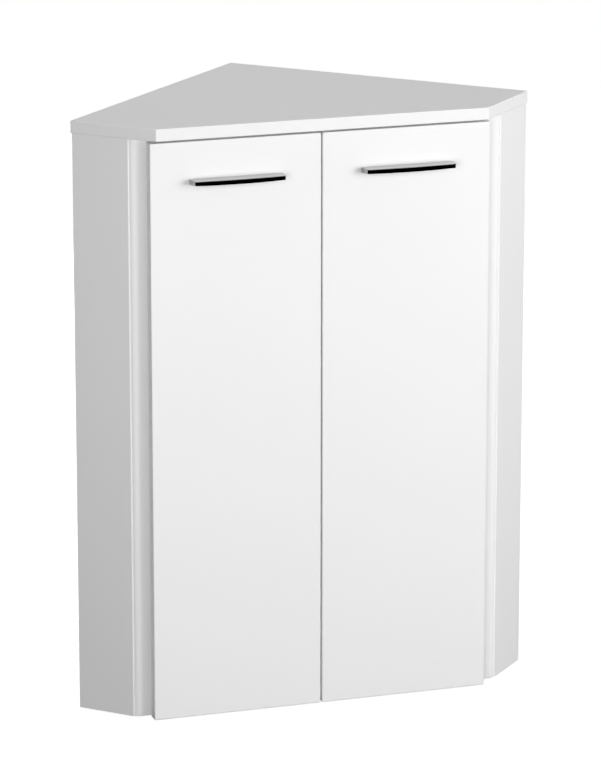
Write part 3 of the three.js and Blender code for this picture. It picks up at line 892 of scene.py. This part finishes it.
def cross_head(radius, height):
    """Domed screw head with a cross recess: the dome's height is height * (1 - fall (r / radius)^2), less a
    recess that fades in with the distance from the two lines of the cross."""
    facets = FACETS["head"]
    share = HEAD_RING_SHARES
    angle = np.arange(facets) * 2 * np.pi / facets
    x = radius * share[:, None] * np.cos(angle)
    y = radius * share[:, None] * np.sin(angle)
    arm = np.minimum(np.abs(x), np.abs(y))
    length = np.maximum(np.abs(x), np.abs(y))
    across = np.clip(RECESS_SOFTNESS - arm / (RECESS_ARM_SHARE * radius), 0, 1)
    depth = across * np.clip((RECESS_REACH_SHARE - length / radius) * RECESS_END_SLOPE, 0, 1)
    top = height * (1 - DOME_FALL_SHARE * share[:, None] ** 2) - RECESS_DEPTH_SHARE * height * depth
    rings = np.stack([x, y, top], -1)[::-1]
    foot = np.stack([x[-1], y[-1], np.zeros(facets)], -1)[None]
    return capped(np.concatenate([foot, rings]))


def handle_screws(side):
    radius = SCREW_SHANK / 2
    back = DOOR_FRONT_Y + DOOR_THICKNESS
    tip_end = SCREW_TIP_LENGTH - SCREW_REACH
    shank = turned(np.concatenate([
        [(SCREW_TIP_RADIUS, -SCREW_REACH), (radius - SCREW_TIP_INSET, tip_end)],
        screw_thread(radius, tip_end + SCREW_TIP_INSET, 0, SCREW_PITCH), [(radius, DOOR_THICKNESS)],
    ]), FACETS["screw"])
    for index, (x, z) in enumerate(screw_places(), 1):
        name = f"{side}_handle_screw_{index}"
        parts = [
            placed(shank, "xzy", (x, DOOR_FRONT_Y, z)),
            placed(cross_head(SCREW_HEAD / 2, SCREW_HEAD_HEIGHT), "xzy", (x, back, z)),
        ]
        make(f"finished_{name}", parts, ZINC_SCREW, f"{side}_door", [name], SIDES[side])


def screw_thread(radius, start, end, pitch):
    """Profile of a thread, with four points a pitch. They are at radius - depth * (1 + cos t), where t turns
    once a pitch."""
    height = np.linspace(start, end, int((end - start) / pitch) * 4)
    swing = 1 + np.cos((height - start) * 2 * np.pi / pitch)
    return np.column_stack([radius - pitch * THREAD_DEPTH_SHARE * swing, height])


def on_door(part, height, axes="xyz"):
    """A part in the door's own frame, at a height, on the right door."""
    return moved_by(placed(part, axes), (DOOR_OUTER_X, DOOR_FRONT_Y, height), (-1, 1, 1))


def hinge_cup(side, index):
    """The steel cup with its rolled rim, the screw flange with two screws, the lugs and the pin."""
    height = HINGE_HEIGHTS[index - 1]
    radius = CUP_DIAMETER / 2
    seat = radius - CUP_WALL / 2
    top = DOOR_THICKNESS + FLANGE_THICKNESS
    pot = turned(np.concatenate([
        [(POLE, CUP_FLOOR - CUP_WALL)],
        round_corner(radius - POT_INSET, CUP_FLOOR - CUP_WALL, POT_ROUNDING, -1)[::-1],
        round_corner(radius, top, RIM_ROUNDING, 1),
        round_corner(CUP_WALL - radius, top, RIM_INNER_ROUNDING, 1)[::-1] * (-1, 1),
        round_corner(CUP_WALL - radius, CUP_FLOOR, -POT_INNER_ROUNDING, -1) * (-1, 1),
        [(POLE, CUP_FLOOR)],
    ]), FACETS["cup"])
    lobe = oblong(FLANGE_WIDTH, FLANGE_HEIGHT, FLANGE_ROUNDING, steps=8)
    sweep = math.asin(FLANGE_WIDTH / 2 / seat)
    lobe = lobe[lobe[:, 1] > seat * math.cos(sweep) / 2]
    arc = np.linspace(-sweep, sweep, 13)
    rim = np.column_stack([np.sin(arc), np.cos(arc)]) * seat
    wing = slab(np.concatenate([lobe, rim]), DOOR_THICKNESS, top, FLANGE_EASE, steps=2)
    head = cross_head(FLANGE_SCREW_HEAD / 2, FLANGE_HEAD_HEIGHT)
    head = moved_by(head, (0, FLANGE_SCREW, top - SUNK))
    inside = ARM_WIDTH / 2 + FIXED_GAP
    lug_start = CUP_CENTRE - math.sqrt(seat ** 2 - (inside + LUG_WIDTH) ** 2)
    lug_low = CUP_FLOOR - CUP_WALL / 2
    lug = from_box((lug_start, lug_low), (PIN_X + PIN_DIAMETER, PIN_Y + PIN_DIAMETER))
    lug = slab(rounded(lug, LUG_ROUNDING, 5, FINE_HOLD), inside, inside + LUG_WIDTH, LUG_EASE, steps=2)
    reach = inside + LUG_WIDTH / 2
    pin = turned([(PIN_DIAMETER / 2, -reach), (PIN_DIAMETER / 2, reach)], FACETS["pin"])
    parts = [
        on_door(moved_by(pot, (CUP_CENTRE, 0, 0)), height, "xzy"),
        on_door(moved_by(pin, (PIN_X, PIN_Y, 0)), height),
    ]
    for end in (1, -1):
        for part in (wing, head):
            parts.append(on_door(moved_by(part, (CUP_CENTRE, 0, 0), (1, end, 1)), height, "xzy"))
        parts.append(on_door(moved_by(lug, scale=(1, 1, end)), height))
    name = f"{side}_hinge_cup_{index}"
    make(f"finished_{name}", parts, NICKEL, f"{side}_door", [name], SIDES[side])


def strip_outline(path, thickness):
    """Closed outline of a bent strip: the path moved half a thickness to each side of itself."""
    path = np.asarray(path)
    along = unit(np.gradient(path, axis=0))
    across = np.column_stack([-along[:, 1], along[:, 0]]) * thickness / 2
    return np.concatenate([path - across, (path + across)[::-1]])


def folded_channel(low_x, start):
    """The arm's rear: a folded sheet, open towards the mounting plate. Its section is carried along the arm
    while its height grows from the strip's thickness to the full height by 3 t^2 - 2 t^3, for t from 0 to 1
    along the ramp."""
    wide = CHANNEL_WIDTH / 2
    inner = wide - CHANNEL_WALL
    web = CHANNEL_HEIGHT - CHANNEL_WALL
    section = [
        (0, -wide), (CHANNEL_HEIGHT, -wide), (CHANNEL_HEIGHT, wide), (0, wide),
        (0, inner), (web, inner), (web, -inner), (0, -inner),
    ]
    radii = [FOLD_EDGE, FOLD_OUTER, FOLD_OUTER, FOLD_EDGE, FOLD_EDGE, FOLD_INNER, FOLD_INNER, FOLD_EDGE]
    outline = rounded(section, radii, hold=FINE_HOLD)
    share = np.linspace(0, 1, 9)
    ramp = 3 * share ** 2 - 2 * share ** 3
    height = np.concatenate([ARM_SHEET + (CHANNEL_HEIGHT - ARM_SHEET) * ramp, [CHANNEL_HEIGHT] * 2])
    along = np.concatenate([share * CHANNEL_RAMP, [CHANNEL_LENGTH - CHANNEL_EASE, CHANNEL_LENGTH]])
    draw = np.zeros(len(along))
    draw[-1] = CHANNEL_EASE
    rings = outline[None] - outward(outline)[None] * draw[:, None, None]
    x = np.maximum(rings[..., 0] - (CHANNEL_HEIGHT - height)[:, None], 0)
    y = np.broadcast_to(start + along[:, None], x.shape)
    return capped(np.stack([low_x + x, rings[..., 1], y], -1))


def hinge_arm(side, index):
    """The gooseneck: a bent strip from its curl round the pin to the folded channel, with two setting
    screws."""
    leg_x = PIN_X + ARM_REACH
    leg_y = PIN_Y - KNUCKLE_RADIUS + ARM_SHEET / 2
    channel_y = DOOR_THICKNESS + (FRONT_Y - door_high[1]) + 2 * FIXED_GAP
    turn = quarter_turn(8)
    back_x = leg_x + ARM_SHEET / 2
    path = np.concatenate([
        [(PIN_X, leg_y), (PIN_X + KNUCKLE_REACH, leg_y)],
        np.column_stack([back_x - NECK_BEND * (1 - np.sin(turn)), leg_y + NECK_BEND * (1 - np.cos(turn))]),
        [(back_x, channel_y + ARM_SHEET)],
    ])
    height = HINGE_HEIGHTS[index - 1]
    half = ARM_WIDTH / 2
    neck = slab(strip_outline(path, ARM_SHEET), -half, half, NECK_EASE, steps=2)
    curl_hole = ((PIN_X, PIN_Y), PIN_DIAMETER / 2 + PIN_GAP, -half, half)
    curl = circle((PIN_X, PIN_Y), KNUCKLE_RADIUS, FACETS["curl"])
    curl = slab(curl, -half, half, KNUCKLE_EASE, [curl_hole], steps=2)
    channel = folded_channel(leg_x, channel_y)
    parts = [on_door(neck, height), on_door(curl, height), on_door(channel, height, "xzy")]
    screws = (CHANNEL_RAMP + SET_SCREW_PAST_RAMP, CHANNEL_LENGTH - SET_SCREW_FROM_END)
    for along, diameter in zip(screws, SET_SCREW_HEADS):
        lift = (channel_y + along, 0, leg_x + CHANNEL_HEIGHT - SUNK)
        parts.append(on_door(moved_by(cross_head(diameter / 2, LOW_HEAD), lift), height, "yzx"))
    name = f"{side}_hinge_arm_{index}"
    make(f"finished_{name}", parts, NICKEL, "carcase", [name], SIDES[side])


def hinge_mount(side, index):
    """The mounting plate on the batten: a raised middle with two wings, each held by a screw."""
    name = f"{side}_hinge_mount_{index}"
    low, high = (np.array(corner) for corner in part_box(f"right_hinge_mount_{index}"))
    long, tall = high[1] - low[1], high[2] - low[2]
    raised = slab(oblong(long, BLOCK_WIDTH, BLOCK_ROUNDING, steps=6), 0, high[0] - low[0], BLOCK_EASE)
    wings = slab(oblong(WING_WIDTH, tall, WING_ROUNDING, steps=8), 0, WING_THICKNESS, WING_EASE)
    head = cross_head(WING_SCREW_HEAD / 2, LOW_HEAD)
    screw = (tall - WING_WIDTH) / 2
    parts = [raised, wings] + [moved_by(head, (0, end * screw, WING_THICKNESS - SUNK)) for end in (1, -1)]
    middle = (high[0], (low[1] + high[1]) / 2, (low[2] + high[2]) / 2)
    parts = [placed(moved_by(part, scale=(1, 1, -1)), "yzx", middle) for part in parts]
    make(f"finished_{name}", parts, NICKEL, "carcase", [name], SIDES[side])


def shelf_peg(side, level, seat):
    """A turned peg: a head with rounded edges under the shelf, and a thinner shank in the board."""
    name = f"{level}_{side}_{seat}_peg"
    low, high = (np.array(corner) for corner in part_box(name))
    tilt = -math.pi / 4 if seat == "side" else math.pi / 4
    head, shank = PEG_HEAD / 2, PEG_SHANK / 2
    part = placed(turned(np.concatenate([
        [(POLE, 0)], round_corner(head, 0, PEG_HEAD_ROUNDING, -1)[::-1],
        round_corner(head, PEG_HEAD_LENGTH, PEG_COLLAR_ROUNDING, 1),
        [(shank, PEG_HEAD_LENGTH), (shank, PEG_LENGTH - PEG_TIP_BEVEL), (shank - PEG_TIP_BEVEL, PEG_LENGTH)],
    ]), FACETS["peg"]), "xzy")
    middle = (low + high) / 2
    half = PEG_LENGTH / 2
    start = (abs(middle[0]) - half * math.cos(tilt), middle[1] - half * math.sin(tilt), middle[2])
    parts = [placed(part, "xyz", start, tilt - math.pi / 2)]
    make(f"finished_{name}", parts, ZINC_PEG, "carcase", [name], SIDES[side])


def foot(name):
    """A glide: a slightly tapered puck with a rounded tread and a rim under the board."""
    low, high = (np.array(corner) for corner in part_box(name))
    radius = (high[0] - low[0]) / 2
    height = high[2] - low[2]
    inner, outer = HOLLOW_SHARES
    start, end = FOOT_STEP_SHARES
    profile = np.concatenate([
        [(radius * inner, TREAD_HOLLOW), (radius * outer, 0)],
        round_corner(radius - TREAD_TAPER, 0, TREAD_ROUNDING, -1, steps=6)[::-1],
        [(radius - FOOT_STEP, height * start), (radius, height * end)],
        round_corner(radius, height, FOOT_RIM_ROUNDING, 1, steps=3),
    ])
    middle = (low + high) / 2
    part = placed(turned(profile, FACETS["foot"]), "xyz", (middle[0], middle[1], low[2]))
    make(f"finished_{name}", [part], PLASTIC, "carcase", [name])


def bumper(side, level):
    """A soft pad on the door's back: a flat skirt with a dome."""
    name = f"{side}_{level}_bumper"
    low, high = (np.array(corner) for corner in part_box(f"right_{level}_bumper"))
    radius = (high[0] - low[0]) / 2
    thickness = high[1] - low[1]
    turn = quarter_turn(8)[:-1]
    rise = BUMPER_SKIRT_SHARE + (1 - BUMPER_SKIRT_SHARE) * np.sin(turn)
    dome = np.column_stack([radius * np.cos(turn), thickness * rise])
    profile = np.concatenate([[(radius, 0)], dome, [(radius * BUMPER_TOP_SHARE, thickness)]])
    place = ((low[0] + high[0]) / 2, low[1], (low[2] + high[2]) / 2)
    part = placed(turned(profile, FACETS["bumper"]), "xzy", place)
    make(f"finished_{name}", [part], BUMPER, f"{side}_door", [name], SIDES[side])


top_plate()
corner_post()
bottom_board()
top_rail()
for level in ("lower", "middle", "upper"):
    shelf(level)
for side in SIDES:
    front_strip(side)
    side_panel(side)
    back_panel(side)
    hinge_batten(side)
    door(side)
    pull(side)
    handle_screws(side)
    for index in (1, 2, 3):
        hinge_cup(side, index)
        hinge_arm(side, index)
        hinge_mount(side, index)
    for level in ("lower", "upper"):
        bumper(side, level)
        for seat in ("side", "back"):
            shelf_peg(side, level, seat)
for name in ("rear_foot", "left_foot", "right_foot", "front_left_foot", "front_right_foot"):
    foot(name)


def floor():
    """Pale studio floor, which only the camera sees."""
    finish = new_finish("studio_floor")
    speckle = finish.noise(finish.place(), scale=3, detail=3)
    material = finish.surface(
        Base_Color=finish.mix(speckle, *FLOOR_TONES),
        Roughness=0.9,
        Specular_IOR_Level=0.0,
        Emission_Color=grey(1.0),
        Emission_Strength=FLOOR_GLOW,
    )
    mesh = bpy.data.meshes.new("studio_floor")
    outline = circle((0, 0), FLOOR_RADIUS, FACETS["floor"])
    mesh.from_pydata(at_height(outline, 0).tolist(), [], [list(range(len(outline)))])
    mesh.materials.append(material)
    ground = bpy.data.objects.new("studio_floor", mesh)
    bpy.context.scene.collection.objects.link(ground)
    ground.visible_diffuse = False
    ground.visible_glossy = False


def sky():
    """Soft light from above, strongest low round the horizon, and almost none from below. The camera itself
    sees a plain white backdrop."""
    world = bpy.data.worlds.new("studio")
    bpy.context.scene.world = world
    glow = Finish(world)
    where = glow.node("ShaderNodeTexCoord")["Generated"]
    height = glow.node("ShaderNodeSeparateXYZ", None, {0: where})["Z"] * 0.5 + 0.5
    level = glow.node("ShaderNodeFloatCurve", {"levels": GLOW_LEVELS}, {"Value": height})["Value"]
    ray = glow.node("ShaderNodeLightPath")
    strength = level * (1 - ray["Is Diffuse Ray"] * (1 - GLOW_SHARE))
    light = glow.node("ShaderNodeBackground", None, {"Strength": strength})["Background"]
    seen = glow.node("ShaderNodeBackground", None, {"Color": grey(1.0)})["Background"]
    shown = glow.node("ShaderNodeMixShader", None, {0: ray["Is Camera Ray"], 1: light, 2: seen})["Shader"]
    glow.node("ShaderNodeOutputWorld", None, {"Surface": shown})


def panel_light(name, place, target, width, height, power):
    light = bpy.data.lights.new(name, "AREA")
    light.shape = "RECTANGLE"
    light.size = width
    light.size_y = height
    light.energy = power
    lamp = bpy.data.objects.new(name, light)
    bpy.context.scene.collection.objects.link(lamp)
    direction = Vector(target) - Vector(place)
    lamp.location = place
    lamp.rotation_euler = direction.to_track_quat("-Z", "Y").to_euler()
    lamp.visible_camera = False
    lamp.visible_glossy = False


def camera():
    made = bpy.data.cameras.new("camera")
    made.lens = LENS
    made.sensor_width = SENSOR
    made.clip_end = VIEW_END
    view = bpy.data.objects.new("camera", made)
    bpy.context.scene.collection.objects.link(view)
    view.location = CAMERA_PLACE
    view.rotation_euler = (math.pi / 2 + CAMERA_PITCH, 0, -CAMERA_YAW)
    bpy.context.scene.camera = view


floor()
sky()
for name, (azimuth, distance, power, width) in WALL_LIGHTS.items():
    turn = math.radians(azimuth)
    place = (distance * math.sin(turn), FRONT_Y - distance * math.cos(turn), LIGHT_HEIGHT)
    panel_light(name, place, (0, FRONT_Y, LIGHT_TARGET), width, LIGHT_TALL, power)
panel_light("top_light", TOP_PLACE, TOP_TARGET, TOP_SIZE, TOP_SIZE, TOP_POWER)
camera()
bpy.context.scene.view_settings.view_transform = "Standard"
